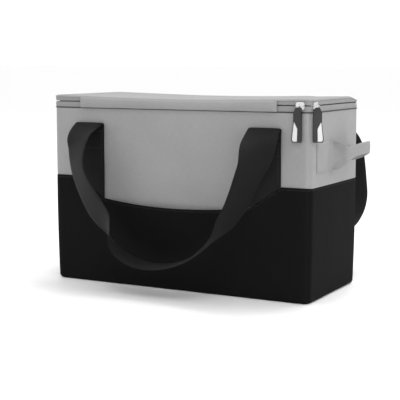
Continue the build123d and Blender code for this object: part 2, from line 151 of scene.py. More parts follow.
# %% A material with a shader and its nodes
class Finish:
    """A material. Settings that are the same all over go straight on the shader's sockets."""

    made = {}

    def __init__(self, name, **constants):
        self.material = bpy.data.materials.new(name)
        self.material.use_nodes = True
        self.tree = self.material.node_tree
        self.shader = self.tree.nodes["Principled BSDF"]
        for socket, value in constants.items():
            self.shader.inputs[socket.replace("_", " ")].default_value = value
        Finish.made[name] = self.material

    def node(self, kind, settings=None, values=None, out=0):
        """Any node: its type, its settings, and values or patterns for its sockets."""
        node = self.tree.nodes.new(f"ShaderNode{kind}")
        for setting, value in (settings or {}).items():
            setattr(node, setting, value)
        for socket, value in (values or {}).items():
            if isinstance(value, Pattern):
                self.tree.links.new(value.socket, node.inputs[socket])
            else:
                node.inputs[socket].default_value = value
        return Pattern(self, node.outputs[out])

    def ramp(self, pattern, *stops):
        """A colour that follows a pattern through stops of (place, grey or colour)."""
        node = self.tree.nodes.new("ShaderNodeValToRGB")
        self.tree.links.new(pattern.socket, node.inputs[0])
        marks = node.color_ramp.elements
        while len(marks) < len(stops):
            marks.new(0.5)
        for mark, (place, tone) in zip(marks, stops):
            mark.position = place
            mark.color = (*(tone if isinstance(tone, tuple) else (tone,) * 3), 1)
        return Pattern(self, node.outputs[0])

    def specks(self, vector, scale, detail=2.0, roughness=0.5):
        """Smooth random tone, from 0 to 1."""
        return self.node(
            "TexNoise", None,
            {"Vector": vector, "Scale": scale, "Detail": detail, "Roughness": roughness},
        )

    def place(self):
        """The point on the object, in metres."""
        return self.node("TexCoord", out=3)

    def cloth_place(self):
        """The point on the flat cloth, in metres along its two sets of threads."""
        return self.node("UVMap", {"uv_map": "cloth"})

    def stretched(self, vector, x, y, z=1.0):
        """The same place with its axes scaled."""
        return self.node("Mapping", None, {"Vector": vector, "Scale": (x, y, z)})

    def wear(self, socket, pattern):
        """Feed one socket of the shader."""
        self.tree.links.new(pattern.socket, self.shader.inputs[socket])

    def emboss(self, height, depth, strength=1.0):
        """Make the surface rise and fall by a pattern, depth in metres."""
        bump = self.node(
            "Bump", None, {"Height": height, "Distance": depth, "Strength": strength}
        )
        self.wear("Normal", bump)


# %% [markdown]
# ## Cloth
# The bag's cloth is a plain weave of dyed polyester. Seen close, each thread passes over and under
# the next, and no two threads have quite the same tone, which gives the grey its fine heather.
# Two sets of long thin streaks make the threads' tones, and a product of two sine waves makes the
# over-and-under. The threads follow the piece's own UV map, which is in metres of flat cloth.

# %% Woven cloth
def woven(name, dark, light, thread=0.5 * mm, lift=0.10 * mm, roughness=0.8, heather=1.0,
          sheen=0.1, gloss=0.2):
    """Plain weave between two tones; heather says how much the threads' tones differ."""
    cloth = Finish(
        name, Roughness=roughness, Sheen_Weight=sheen, Sheen_Roughness=0.5,
        Specular_IOR_Level=gloss,
    )
    flat = cloth.cloth_place()
    across = cloth.node("SeparateXYZ", None, {0: flat})
    along = cloth.node("SeparateXYZ", None, {0: flat}, out=1)
    turn = math.pi / thread
    over = (across * turn).wave() * (along * turn).wave()
    warp = cloth.specks(cloth.stretched(flat, 1 / thread, 110), 1.0)
    weft = cloth.specks(cloth.stretched(flat, 110, 1 / thread), 1.0)
    clouds = cloth.specks(cloth.place(), 14.0, 3.0)
    tone = (warp + weft - 1.0) * (0.8 * heather) + (clouds - 0.5) * 0.35 + over * 0.1 + 0.5
    cloth.wear("Base Color", cloth.ramp(tone, (0.05, dark), (0.95, light)))
    cloth.wear("Roughness", (warp * 0.16 + (roughness - 0.08)))
    creases = cloth.specks(cloth.stretched(cloth.place(), 1, 1, 1.6), 30.0, 3.0, 0.45)
    cloth.emboss(over * lift + warp * (lift * 0.5) + creases * (3.0 * lift), 1.0, 0.8)
    return cloth.material


grey_cloth = woven("grey_cloth", 0.20, 0.37, heather=0.45)
black_cloth = woven("black_cloth", 0.003, 0.0075, heather=0.8, sheen=0.0, gloss=0.06)
tape_cloth = woven("tape_cloth", 0.17, 0.30, thread=0.4 * mm, lift=0.06 * mm, heather=0.5)
binding_cloth = woven("binding_cloth", 0.20, 0.34, thread=0.4 * mm, lift=0.08 * mm, heather=0.5)
# Near-black cloth for the rim cord: its darkness is painted shade for the recessed seam where the
# lower tape meets the walls' top.
painted_shade_piping = woven("painted_shade_piping", 0.02, 0.05, thread=0.4 * mm, lift=0.08 * mm)
print("woven cloths:", sorted(Finish.made))


# %% [markdown]
# Webbing is thicker than cloth. Its ribs run along the strap and its weft crosses them in short
# steps, so it shows rows of small V shapes. Threads near the edges turn back and make a firm cord.

# %% Webbing
def ribbed(name, dark, light, rib=1.5 * mm, pitch=1.1 * mm, lift=0.25 * mm):
    """Heavy webbing with rows of slanted stitches that change direction from rib to rib."""
    strap = Finish(
        name, Roughness=0.65, Sheen_Weight=0.03, Sheen_Roughness=0.45, Specular_IOR_Level=0.14
    )
    flat = strap.cloth_place()
    along = strap.node("SeparateXYZ", None, {0: flat})
    across = strap.node("SeparateXYZ", None, {0: flat}, out=1)
    ribs = (across * (math.pi / rib)).wave()
    slant = (across * (2 * math.pi / rib)).wave().size() * 0.8
    steps = (along * (2 * math.pi / pitch) + slant * 2.2).wave()
    threads = strap.specks(strap.stretched(flat, 60, 1.6 / rib), 1.0)
    fuzz = strap.specks(strap.place(), 900.0)
    height = ribs.size() * 0.6 + steps * 0.3 + threads * 0.3
    tone = height * 0.5 + (threads - 0.5) * 0.6 + fuzz * 0.3
    strap.wear("Base Color", strap.ramp(tone, (0.05, dark), (0.85, light)))
    strap.emboss(height * lift + fuzz * 0.00005, 1.0, 0.9)
    return strap.material


webbing_cloth = ribbed("webbing", 0.002, 0.009)
print("webbing ready")


# %% [markdown]
# ## Liner, foam, metal and moulded plastic
# The liner is welded film with a satin shine and shallow creases. Foam sheet has fine closed
# cells. The sliders are plated zinc, so they are mirror bright with a little unevenness, and the
# pulls are moulded with a fine spark-eroded grain.

# %% Film and foam
film = Finish("liner_film", Metallic=0.35, Coat_Roughness=0.25, Coat_Weight=0.3)
waves = film.specks(film.place(), 22.0, 4.0, 0.55)
grain = film.specks(film.place(), 500.0)
film.wear("Base Color", film.ramp(waves, (0.2, 0.42), (0.8, 0.56)))
film.wear("Roughness", waves * 0.2 + 0.24)
film.emboss(waves * 0.0012 + grain * 0.00004, 1.0, 0.7)

foam = Finish("foam", Roughness=0.85)
cells = foam.node("TexVoronoi", None, {"Vector": foam.place(), "Scale": 900.0})
foam.wear("Base Color", foam.ramp(cells, (0.0, 0.68), (0.8, 0.86)))
foam.emboss(cells * 0.0003, 1.0, 0.6)
print("film and foam ready")


# %% Metal and plastic
def hard(name, dark, light, roughness, grain_scale, grain_depth, **constants):
    """A hard finish with a fine grain and slightly uneven tone."""
    finish = Finish(name, **constants)
    smudges = finish.specks(finish.place(), 60.0, 3.0)
    fine = finish.specks(finish.place(), grain_scale, 2.0)
    finish.wear("Base Color", finish.ramp(smudges, (0.3, dark), (0.7, light)))
    finish.wear("Roughness", smudges * 0.12 + (roughness - 0.06))
    finish.emboss(fine * grain_depth, 1.0, 0.6)
    return finish.material


chrome = hard("bright_plating", 0.62, 0.80, 0.14, 220.0, 0.00004, Metallic=1.0)
pull_black = hard("pull_black", 0.007, 0.016, 0.38, 1500.0, 0.00005, Specular_IOR_Level=0.5)
pull_pale = hard("pull_pale", 0.56, 0.66, 0.45, 1500.0, 0.00004)
coil_nylon = hard("coil_nylon", 0.09, 0.17, 0.4, 2500.0, 0.00003)
board_plastic = hard("board_plastic", 0.03, 0.05, 0.5, 700.0, 0.0001)
grey_thread = hard("grey_thread", 0.30, 0.42, 0.6, 4000.0, 0.00004)
black_thread = hard("black_thread", 0.015, 0.035, 0.6, 4000.0, 0.00004)
studio_floor = hard("studio_floor", 0.93, 0.95, 0.6, 40.0, 0.00001)
print("materials:", len(Finish.made))

# %% The floor
floor_half = 60.0
floor_mesh = bpy.data.meshes.new("floor")
floor_mesh.from_pydata(
    [(x, y, -0.0002) for x, y in ((-1, -1), (1, -1), (1, 1), (-1, 1))], [], [(0, 1, 2, 3)]
)
floor_mesh.transform(Matrix.Diagonal((floor_half, floor_half, 1, 1)))
floor_mesh.materials.append(studio_floor)
floor = bpy.data.objects.new("floor", floor_mesh)
bpy.context.scene.collection.objects.link(floor)
print("floor", 2 * floor_half, "m wide")

# %% [markdown]
# ## One way to make every soft piece
# A wall, a strap, a binding and a puffed band are all the same thing to a modeller: one closed
# outline carried along a path and changed on the way. So one function joins rings of points into
# a closed mesh, caps its ends and unrolls it into the cloth's own map.

# %% Join rings of points into a closed piece
def loft(name, rings, material, closed=False, crease=40):
    """A closed mesh through rings of equally many points; closed joins the last to the first."""
    rings = np.asarray(rings, float)
    count, around = rings.shape[:2]
    rows = count if closed else count - 1
    faces, corners = [], []
    steps_along = np.linalg.norm(np.roll(rings, -1, 0) - rings, axis=2).mean(1)
    steps_round = np.linalg.norm(np.roll(rings, -1, 1) - rings, axis=2)[count // 2]
    along = np.concatenate([[0], np.cumsum(steps_along)])
    round_ = np.concatenate([[0], np.cumsum(steps_round)])
    for i in range(rows):
        n = (i + 1) % count
        for j in range(around):
            k = (j + 1) % around
            faces.append((i * around + j, n * around + j, n * around + k, i * around + k))
            corners += [(along[i], round_[j]), (along[i + 1], round_[j]),
                        (along[i + 1], round_[j + 1]), (along[i], round_[j + 1])]
    if not closed:
        for start, flip in ((0, 1), ((count - 1) * around, -1)):
            for j in range(around // 2 - 1):
                quad = [start + j, start + j + 1, start + around - 2 - j, start + around - 1 - j]
                faces.append(tuple(quad[::flip]))
                corners += [(round_[j], round_[q - start]) for q in quad[::flip]]
    mesh = bpy.data.meshes.new(name)
    mesh.from_pydata(rings.reshape(-1, 3).tolist(), [], faces)
    mesh.uv_layers.new(name="cloth").data.foreach_set("uv", np.ravel(corners))
    mesh.materials.append(material)
    solid = bmesh.new()
    solid.from_mesh(mesh)
    if solid.calc_volume(signed=True) < 0:
        bmesh.ops.reverse_faces(solid, faces=solid.faces)
    solid.to_mesh(mesh)
    solid.free()
    mesh.polygons.foreach_set("use_smooth", [True] * len(mesh.polygons))
    mesh.set_sharp_from_angle(angle=math.radians(crease))
    piece = bpy.data.objects.new(name, mesh)
    bpy.context.scene.collection.objects.link(piece)
    return piece


def settle(piece, body, slot, *nodes, fill=None):
    """A finished piece rides on its body and stands for its CAD nodes. The slot is not used."""
    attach(piece, body)
    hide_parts(*nodes)
    print(f"{piece.name}: {len(piece.data.polygons)} faces on {body}")
    return piece


# %% [markdown]
# ## The bag's outline
# Every wall follows one rounded rectangle. A point on it is named by its wall, by how far along
# the wall it is from the middle, and by how far outside the outline it lies. The walls meet on the
# diagonals of the corners, where the real bag has its upright seams.

# %% Sizes read from the CAD model
top_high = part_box("lid_panel")[1]
half_length, half_depth, lid_top = top_high
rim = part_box("right_upper_panel")[1][2]
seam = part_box("right_lower_panel")[1][2]
corner = 8.0 * mm
shell = 1.2 * mm
lap = 0.2 * mm              # black pocket to the grey panel behind it
facing = {
    "front": ((1, 0), (0, -1)), "right": ((0, 1), (1, 0)),
    "back": ((-1, 0), (0, 1)), "left": ((0, -1), (-1, 0)),
}
straight = {
    side: (half_length if side in ("front", "back") else half_depth) - corner for side in facing
}
reach = {side: half_depth if side in ("front", "back") else half_length for side in facing}
half_wall = {side: straight[side] + corner * math.pi / 4 for side in facing}
print("half walls in mm:", {side: round(w / mm, 1) for side, w in half_wall.items()})


# %% Points on the outline
def on_wall(side, a, out, z):
    """Points a along a wall from its middle, out from the outline and z up; arrays or numbers."""
    a, out, z = np.broadcast_arrays(*(np.asarray(v, float) for v in (a, out, z)))
    turn = np.clip((np.abs(a) - straight[side]) / corner, 0, math.pi / 4)
    run = np.sign(a) * (np.minimum(np.abs(a), straight[side]) + (corner + out) * np.sin(turn))
    away = reach[side] - corner + (corner + out) * np.cos(turn)
    (ax, ay), (ox, oy) = facing[side]
    return np.stack([ax * run + ox * away, ay * run + oy * away, z], -1)


def wall_stations(side, spacing):
    """Places along a wall, closer together round its two corners."""
    middle = np.linspace(-straight[side], straight[side],
                         max(3, round(2 * straight[side] / spacing)))
    bend = np.linspace(straight[side], half_wall[side], 6)[1:]
    return np.concatenate([-bend[::-1], middle, bend])


def ripple(a, z, seed, fineness=24.0):
    """Slow random waves, from about -1 to 1, the same on every run."""
    a, z = np.broadcast_arrays(a, z)
    flat = [
        noise.noise((x * fineness, y * fineness, seed * 7.3))
        + 0.45 * noise.noise((x * fineness * 2.6, y * fineness * 1.7, seed * 3.1 + 40))
        for x, y in zip(a.ravel().tolist(), z.ravel().tolist())
    ]
    return np.reshape(flat, a.shape)


# %% [markdown]
# Foam pushes the walls out a little between the seams, the bottom edge tucks under, and each
# upright seam pulls the cloth in. One function gives this shape for any point on a wall, so the
# pieces that are sewn on a wall, such as the straps, lie on it exactly.

# %% How the walls swell and crease
swell = {"front": 0.7 * mm, "back": 1.4 * mm, "left": 2.0 * mm, "right": 0.9 * mm}
wall_seed = {"front": 1, "right": 2, "back": 3, "left": 4}


def give(side, a, z):
    """How far the cloth of a wall lies outside the plain outline."""
    a, z = np.broadcast_arrays(np.asarray(a, float), np.asarray(z, float))
    share = np.clip(1 - (a / half_wall[side]) ** 2, 0, 1)
    rise = np.sin(np.pi * np.clip(z / rim, 0, 1))
    low = np.clip(1 - z / (110 * mm), 0, 1) ** 2 * 1.6 * mm
    seam_pull = 0.9 * mm * np.exp(-(((half_wall[side] - np.abs(a)) / (1.8 * mm)) ** 2))
    quiet = np.clip((half_wall[side] - np.abs(a)) / (20 * mm), 0, 1)
    quiet = quiet * np.clip((rim - z) / (10 * mm), 0.15, 1)
    waves = ripple(a, z, wall_seed[side]) * 0.45 * mm * quiet
    return swell[side] * share**0.7 * rise**0.7 - low - seam_pull + waves


def wall_piece(name, side, low, high, out, thickness, material, spacing=3.0 * mm, tuck=0.0,
               hem=0.0, extra=None, tops=None):
    """A sheet of cloth on one wall. tuck rounds its bottom edge under, hem rolls its top edge."""
    stations = wall_stations(side, spacing)
    rows = max(4, round((high - low) / spacing))
    rings = []
    for a in stations:
        top = high if tops is None else tops(a)
        z = np.linspace(low + tuck, top, rows)
        face = out + give(side, a, z) + (extra(a, z) if extra else 0)
        roll = np.clip((z - (top - 1.2 * mm)) / (1.2 * mm), 0, 1) ** 2 * hem
        outer = [(o - r, h) for o, h, r in zip(face, z, roll)]
        inner = [(o - thickness + r * 0.5, h) for o, h, r in zip(face, z, roll)]
        if tuck:
            bends = np.radians([15, 30, 45, 60, 75, 90])
            under = [(face[0] - tuck * (1 - math.cos(b)), low + tuck * (1 - math.sin(b)))
                     for b in bends]
            small = tuck - thickness
            inside = [(face[0] - thickness - small * (1 - math.cos(b)),
                       low + thickness + small * (1 - math.sin(b))) for b in bends]
            outer, inner = under[::-1] + outer, inside[::-1] + inner
        ring = np.array(outer + inner[::-1])
        rings.append(on_wall(side, a, ring[:, 0], ring[:, 1]))
    return loft(name, rings, material)


print("walls swell by", {side: round(s / mm, 1) for side, s in swell.items()}, "mm")

# %% [markdown]
# ## The grey and black walls
# The front is one grey panel down to the ground with the pocket over it. The other three walls are
# grey above and black below, joined by a seam at the height of the pocket's top.

# %% Grey upper panels and black lower panels
seam_roll = 0.5 * mm
tuck_radius = 5 * mm          # where a wall turns under the bottom
settle(
    wall_piece("front_cloth", "front", 0, rim, 0, shell, grey_cloth, tuck=tuck_radius),
    "bag", "grey_fabric", "front_panel",
)
for side in ("right", "back", "left"):
    settle(
        wall_piece(f"{side}_upper_cloth", side, seam - 0.3 * mm, rim, 0, shell, grey_cloth),
        "bag", "grey_fabric", f"{side}_upper_panel",
    )
    settle(
        wall_piece(f"{side}_lower_cloth", side, 0, seam, 0.35 * mm, shell, black_cloth,
                   tuck=tuck_radius, hem=seam_roll),
        "bag", "black_fabric", f"{side}_lower_panel",
    )

# %% [markdown]
# ## The pocket
# The pocket is a black panel over the lower front. It is caught at the bottom, at the corners and
# under the straps, and hangs loose between them, so it bulges most at its mouth, which dips.

# %% The pocket panel
strap_low, strap_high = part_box("front_strap_right")
strap_in, strap_out = strap_low[0], strap_high[0]
strap_middle = (strap_in + strap_out) / 2
mouth_corner = strap_low[2] - 0.4 * mm
mouth_dip = 6.0 * mm
pocket_out = lap + shell
pocket_bulge = 9.0 * mm


def pocket_top(a):
    """Height of the pocket's edge: the seam, slanted over the straps, then the dipping mouth."""
    x = abs(a)
    if x >= strap_out:
        return seam
    if x >= strap_in:
        return mouth_corner + (seam - mouth_corner) * (x - strap_in) / (strap_out - strap_in)
    return mouth_corner - mouth_dip * (1 - (x / strap_in) ** 2)


def pocket_swell(a, z):
    """How far the pocket stands off: bulged at its mouth, drawn in to the corner seams."""
    loose = max(0.0, 1 - (a / (strap_in + 4 * mm)) ** 2) ** 1.3
    rise = np.clip((z - 6 * mm) / (mouth_corner - 6 * mm), 0, 1)
    drawn_in = 1.05 * mm * min(1.0, max(0.0, abs(a) / half_wall["front"] - 0.955) / 0.035)
    return pocket_bulge * loose * np.sin(np.pi / 2 * rise**1.1) - drawn_in


settle(
    wall_piece("pocket_cloth", "front", 0, seam, pocket_out, shell, black_cloth,
               spacing=2.4 * mm, tuck=tuck_radius, hem=0.3 * mm, extra=pocket_swell,
               tops=pocket_top),
    "bag", "black_fabric", "pocket_panel",
)

# %% [markdown]
# ## Foam, board and bottom
# Each wall has a sheet of foam behind the cloth. Sheet foam is cut a little soft at its edges.
# The same function also makes the stiff board in the base and the bottom's cloth.

# %% Slabs with soft edges
def slab(name, low, high, round_edge, corner_radius, material, sag=None, steps=10):
    """A flat slab with rounded corners and edges, that may sag."""
    (x0, y0, z0), (x1, y1, z1) = low, high
    half_x, half_y = (x1 - x0) / 2, (y1 - y0) / 2
    middle = np.array([(x0 + x1) / 2, (y0 + y1) / 2])
    angles = np.linspace(0, math.pi / 2, 5)
    outline = []
    for sx, sy, start in ((1, 1, 0), (-1, 1, 1), (-1, -1, 2), (1, -1, 3)):
        for angle in angles + start * math.pi / 2:
            outline.append((sx * (half_x - corner_radius) + corner_radius * math.cos(angle),
                            sy * (half_y - corner_radius) + corner_radius * math.sin(angle)))
    outline = np.array(outline)
    # more points on the straight runs
    dense = []
    for p, q in zip(outline, np.roll(outline, -1, 0)):
        pieces = max(1, round(np.linalg.norm(q - p) / (9 * mm)))
        dense += [p + (q - p) * k / pieces for k in range(pieces)]
    outline = np.array(dense)
    shrink = np.array([half_x, half_y])
    top_rows = [(round_edge * (1 - math.cos(b)), z1 - round_edge * (1 - math.sin(b)))
                for b in np.linspace(0, math.pi / 2, 5)]
    bottom_rows = [(p, z0 + (z1 - z)) for p, z in top_rows]
    solid = bmesh.new()

    def ring(inset, z, scale=1.0):
        points = outline * (1 - inset / shrink) * scale
        return [solid.verts.new((*(middle + p), z)) for p in points]

    rows = [ring(p, z) for p, z in bottom_rows[::-1]] + [ring(p, z) for p, z in top_rows]
    last_inset, last_z = top_rows[-1]
    first_inset, first_z = bottom_rows[-1]
    inner_top = [ring(last_inset, last_z, 1 - k / steps) for k in range(1, steps)]
    inner_bottom = [ring(first_inset, first_z, 1 - k / steps) for k in range(1, steps)]
    rows = inner_bottom[::-1] + rows + inner_top
    for lower, upper in zip(rows, rows[1:]):
        for i in range(len(lower)):
            k = (i + 1) % len(lower)
            solid.faces.new((lower[i], lower[k], upper[k], upper[i]))
    for row, z in ((rows[0], z0), (rows[-1], z1)):
        pole = solid.verts.new((*middle, z))
        for i in range(len(row)):
            solid.faces.new((row[i], row[(i + 1) % len(row)], pole))
    if sag:
        for vertex in solid.verts:
            vertex.co.z -= sag(*vertex.co)
    bmesh.ops.recalc_face_normals(solid, faces=solid.faces)
    cloth = solid.loops.layers.uv.new("cloth")
    for face in solid.faces:
        for loop in face.loops:
            loop[cloth].uv = loop.vert.co.xy
    mesh = bpy.data.meshes.new(name)
    solid.to_mesh(mesh)
    solid.free()
    mesh.materials.append(material)
    mesh.polygons.foreach_set("use_smooth", [True] * len(mesh.polygons))
    mesh.set_sharp_from_angle(angle=math.radians(50))
    piece = bpy.data.objects.new(name, mesh)
    bpy.context.scene.collection.objects.link(piece)
    return piece


# %% Base pieces
settle(
    slab("bottom_cloth", (-half_length + 5.5 * mm, -half_depth + 5.5 * mm, 0),
         (half_length - 5.5 * mm, half_depth - 5.5 * mm, 1.1 * mm), 0.3 * mm, 6 * mm, black_cloth),
    "bag", "black_fabric", "bottom_panel",
)
board_low, board_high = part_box("base_board")
inset = Vector((1.2 * mm, 1.2 * mm, 0))
settle(
    slab("base_stiffener", board_low + inset, board_high - inset, 0.5 * mm, 6 * mm,
         board_plastic),
    "bag", "board", "base_board",
)
foam_low, foam_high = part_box("base_foam")
settle(
    slab("base_pad", foam_low + inset, foam_high - inset, 1.5 * mm, 8 * mm, foam.material),
    "bag", "foam", "base_foam", fill=0.9,
)


# %% Foam in the walls
def foam_wall(side):
    """A sheet of foam that fills its wall, rounded along its top and bottom edges."""
    low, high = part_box(f"{side}_foam")
    across = 1 if side in ("front", "back") else 0
    thick = high[across] - low[across]
    outer = -(shell + 0.2 * mm)
    z = np.linspace(low.z, high.z, 30)
    edge = np.minimum(z - low.z, high.z - z)
    soft = 1.2 * mm * np.clip(1 - edge / (2 * mm), 0, 1) ** 2
    rings = []
    for a in wall_stations(side, 12 * mm):
        face = np.minimum(give(side, a, z), 0) * 0.7
        outs = np.concatenate([outer + face - soft, (outer - thick + soft)[::-1]])
        rings.append(on_wall(side, a, outs, np.concatenate([z, z[::-1]])))
    return loft(f"{side}_pad", rings, foam.material)


for side in facing:
    settle(foam_wall(side), "bag", "foam", f"{side}_foam", fill=0.9)

# %% [markdown]
# ## Inside: liner, rim and lid lining
# With the lid open the liner shows: a welded tub with rounded inside corners and slack film that
# waves a little. A binding covers the top of the foam and the liner's edge.

# %% The liner tub
tub_low, tub_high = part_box("liner_tub")
tub_inset = -(half_length - tub_high.x)
film_thick = 0.8 * mm
bend_radius = 5 * mm          # where the film's walls meet its floor
floor_top = tub_low.z + film_thick


def liner_tub():
    """Film walls that curve into a film floor, drawn as rings from the rim down to the middle."""
    outline = []
    for side in facing:
        for a in wall_stations(side, 8 * mm)[:-1]:
            outline.append((side, a))
    levels = np.linspace(tub_high.z, floor_top + bend_radius, 30)
    shrinks = np.linspace(1, 0, 14)[1:]

    def surface(extra):
        rings = []
        for z in levels:
            fade = min(1.0, (tub_high.z - z) / (12 * mm))
            ring = []
            for side, a in outline:
                slack = 0.35 * mm * fade * noise.noise((a * 26, z * 20, wall_seed[side] * 5.0))
                ring.append(on_wall(side, a, tub_inset - extra - abs(slack), z))
            rings.append(np.array(ring))
        for bend in np.radians([30, 60, 90]):
            low = floor_top - film_thick + extra
            drop = bend_radius - extra
            ring = [on_wall(side, a, tub_inset - extra - drop * (1 - math.cos(bend)),
                            low + drop * (1 - math.sin(bend))) for side, a in outline]
            rings.append(np.array(ring))
        flat = rings[-1]
        middle = flat.mean(0)
        for s in shrinks:
            ring = middle + (flat - middle) * s
            ring[:, 2] = flat[:, 2] + 0.25 * mm * np.array(
                [noise.noise((x * 30, y * 30, 9.0)) for x, y, _ in ring]
            ) * (1 - s) * s * 4
            rings.append(ring)
        return rings

    outside, inside = surface(0.0), surface(film_thick)
    count = len(outside[0])
    rows = [r[:] for r in outside[:-1]][::-1] + inside[:-1]
    vertices = np.concatenate(rows)
    faces = []
    for i in range(len(rows) - 1):
        for j in range(count):
            k = (j + 1) % count
            faces.append((i * count + j, i * count + k, (i + 1) * count + k, (i + 1) * count + j))
    poles = [outside[-1].mean(0), inside[-1].mean(0)]
    base = len(vertices)
    last = (len(rows) - 1) * count
    for j in range(count):
        k = (j + 1) % count
        faces.append((j, base, k))
        faces.append((last + j, last + k, base + 1))
    mesh = bpy.data.meshes.new("liner_film_tub")
    mesh.from_pydata(vertices.tolist() + [p.tolist() for p in poles], [], faces)
    mesh.materials.append(film.material)
    solid = bmesh.new()
    solid.from_mesh(mesh)
    bmesh.ops.recalc_face_normals(solid, faces=solid.faces)
    solid.to_mesh(mesh)
    solid.free()
    mesh.polygons.foreach_set("use_smooth", [True] * len(mesh.polygons))
    mesh.set_sharp_from_angle(angle=math.radians(50))
    piece = bpy.data.objects.new("liner_film_tub", mesh)
    bpy.context.scene.collection.objects.link(piece)
    return piece


settle(liner_tub(), "bag", "liner", "liner_tub")


# %% [markdown]
# ## Bindings, tapes and piping
# All of these run round the same outline at one height, so one function makes them from a small
# cross-section. Some go all the way round, and the zipper's tapes stop at the hinge.

# %% Bands round the outline
def ease(value, low, high):
    """Goes smoothly from 0 to 1 as the value goes from low to high."""
    share = np.clip((value - low) / (high - low), 0, 1)
    return share * share * (3 - 2 * share)


def lid_sag(x, y, z):
    """How far the closed lid hangs below flat: over its middle and at its right back corner."""
    share = np.clip((z - (rim + 9 * mm)) / (5 * mm), 0, 1)
    middle = 3.2 * mm * np.clip(1 - (x / half_length) ** 2, 0, 1) ** 1.5 * share
    limp = ease(x, half_length - 75 * mm, half_length) * ease(y, 46 * mm, half_depth)
    return middle + 5.8 * mm * limp * np.clip((z - (rim + 8.5 * mm)) / (7.5 * mm), 0, 1)


def band(name, section, material, sides=("left", "front", "right", "back"), closed=True,
         spacing=8 * mm, sag=True):
    """Carries a section of (out, z) points round the outline; sag lets it hang with the lid."""
    rings = []
    outs, heights = np.array(section).T
    for i, side in enumerate(sides):
        stations = wall_stations(side, spacing)
        if closed or i < len(sides) - 1:
            stations = stations[:-1]
        for a in stations:
            ring = on_wall(side, a, outs, heights)
            if sag:
                ring[:, 2] -= lid_sag(ring[:, 0], ring[:, 1], ring[:, 2])
            rings.append(ring)
    return loft(name, rings, material, closed=closed)


def oval(out, z, half_out, half_height, points=12):
    """The section of a cord or of a rolled edge."""
    angles = np.linspace(0, 2 * math.pi, points, endpoint=False)
    return [(out + half_out * math.cos(t), z + half_height * math.sin(t)) for t in angles]


def strip(low, high, out, thickness, rows=5, belly=0.0):
    """The section of a flat tape that stands on edge."""
    z = np.linspace(low, high, rows)
    bow = belly * np.sin(np.linspace(0, math.pi, rows))
    return [(out + b, h) for b, h in zip(bow, z)] + [
        (out - thickness + b, h) for b, h in zip(bow[::-1], z[::-1])
    ]


around = ("left", "front", "right")
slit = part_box("zipper_tape_lower")[1][2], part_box("zipper_tape_upper")[0][2]
print("zipper slit from", round(slit[0] / mm, 1), "to", round(slit[1] / mm, 1), "mm")
# The rim cord itself is a real piping, but its near-black tone is painted shade for the recess at
# the rim.
settle(band("rim_piping_cord", oval(0.1 * mm, rim - 0.1 * mm, 0.75 * mm, 0.75 * mm), painted_shade_piping),
       "bag", "piping", "rim_piping")
settle(band("rim_binding_tape",
            [(-1.6 * mm, rim + 0.3 * mm), (-1.6 * mm, rim + 1.0 * mm), (-4 * mm, rim + 1.5 * mm),
             (-6.2 * mm, rim + 1.4 * mm), (-8.2 * mm, rim + 0.7 * mm), (-8.4 * mm, rim - 5 * mm),
             (-8.9 * mm, rim - 5 * mm), (-8.9 * mm, rim + 0.9 * mm), (-7.0 * mm, rim + 2.0 * mm),
             (-4 * mm, rim + 2.2 * mm), (-1.5 * mm, rim + 1.8 * mm), (-0.9 * mm, rim + 0.6 * mm)],
            binding_cloth, sag=False),
       "bag", "grey_binding", "rim_binding")
tape_thick = 0.8 * mm
settle(band("lower_tape", strip(rim + 0.3 * mm, slit[0], 0.0, tape_thick, belly=0.35 * mm),
            tape_cloth, around, closed=False, sag=False),
       "bag", "zipper_tape", "zipper_tape_lower")
settle(band("upper_tape", strip(slit[1], lid_top - 1.6 * mm, 0.0, tape_thick, belly=0.3 * mm),
            tape_cloth, around, closed=False),
       "lid", "zipper_tape", "zipper_tape_upper")
settle(band("lid_edge_cord", oval(0.0, lid_top - 1.7 * mm, 0.85 * mm, 0.95 * mm), binding_cloth),
       "lid", "grey_binding", "lid_piping")


def hinge_strip():
    """One piece of cloth across the back, from the walls up to the lid."""
    rings = []
    z = np.linspace(rim - 1 * mm, lid_top - 1.8 * mm, 19)
    for a in np.linspace(-half_wall["back"], half_wall["back"], 90):
        bow = 0.35 * mm * np.sin(np.linspace(0, math.pi, len(z)))
        ring = np.concatenate([
            on_wall("back", a, 0.05 * mm + bow, z), on_wall("back", a, -0.75 * mm + bow, z)[::-1]
        ])
        ring[:, 2] -= lid_sag(ring[:, 0], ring[:, 1], ring[:, 2])
        rings.append(ring)
    return loft("hinge_cloth", rings, grey_cloth)


hinge_piece = hinge_strip()
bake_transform(hinge_piece)
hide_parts("hinge_strip_body_half", "hinge_strip_lid_half")

# %% [markdown]
# ## The lid
# The lid is a panel of the same grey cloth over foam. Its edge is rolled over the binding. Its
# middle sinks a little, as an empty bag's lid does, and its right back corner is limp.

# %% Lid cloth, foam and lining
settle(
    slab("lid_cloth", (-half_length, -half_depth, lid_top - 2.6 * mm),
         (half_length, half_depth, lid_top), 1.3 * mm, corner, grey_cloth,
         sag=lid_sag, steps=16),
    "lid", "grey_fabric", "lid_panel",
)
pad_low, pad_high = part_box("lid_foam")
settle(
    slab("lid_pad", pad_low, pad_high - Vector((0, 0, 1.6 * mm)), 1.2 * mm, 4 * mm, foam.material,
         sag=lambda x, y, z: lid_sag(x, y, z) * (z > rim + 12 * mm)),
    "lid", "foam", "lid_foam", fill=0.8,
)
lining_low, lining_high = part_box("lid_liner")
settle(
    slab("lid_lining", lining_low, lining_high, 0.35 * mm, 4 * mm, film.material),
    "lid", "liner", "lid_liner",
)


# %% [markdown]
# ## The storm flap
# A padded strip hangs from the lid's front edge over the zipper and keeps rain out. It is a
# tube of cloth with a soft filling: full in the middle, pinched at its ends, stitched at its hem.

# %% The flap
flap_low, flap_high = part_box("storm_flap")


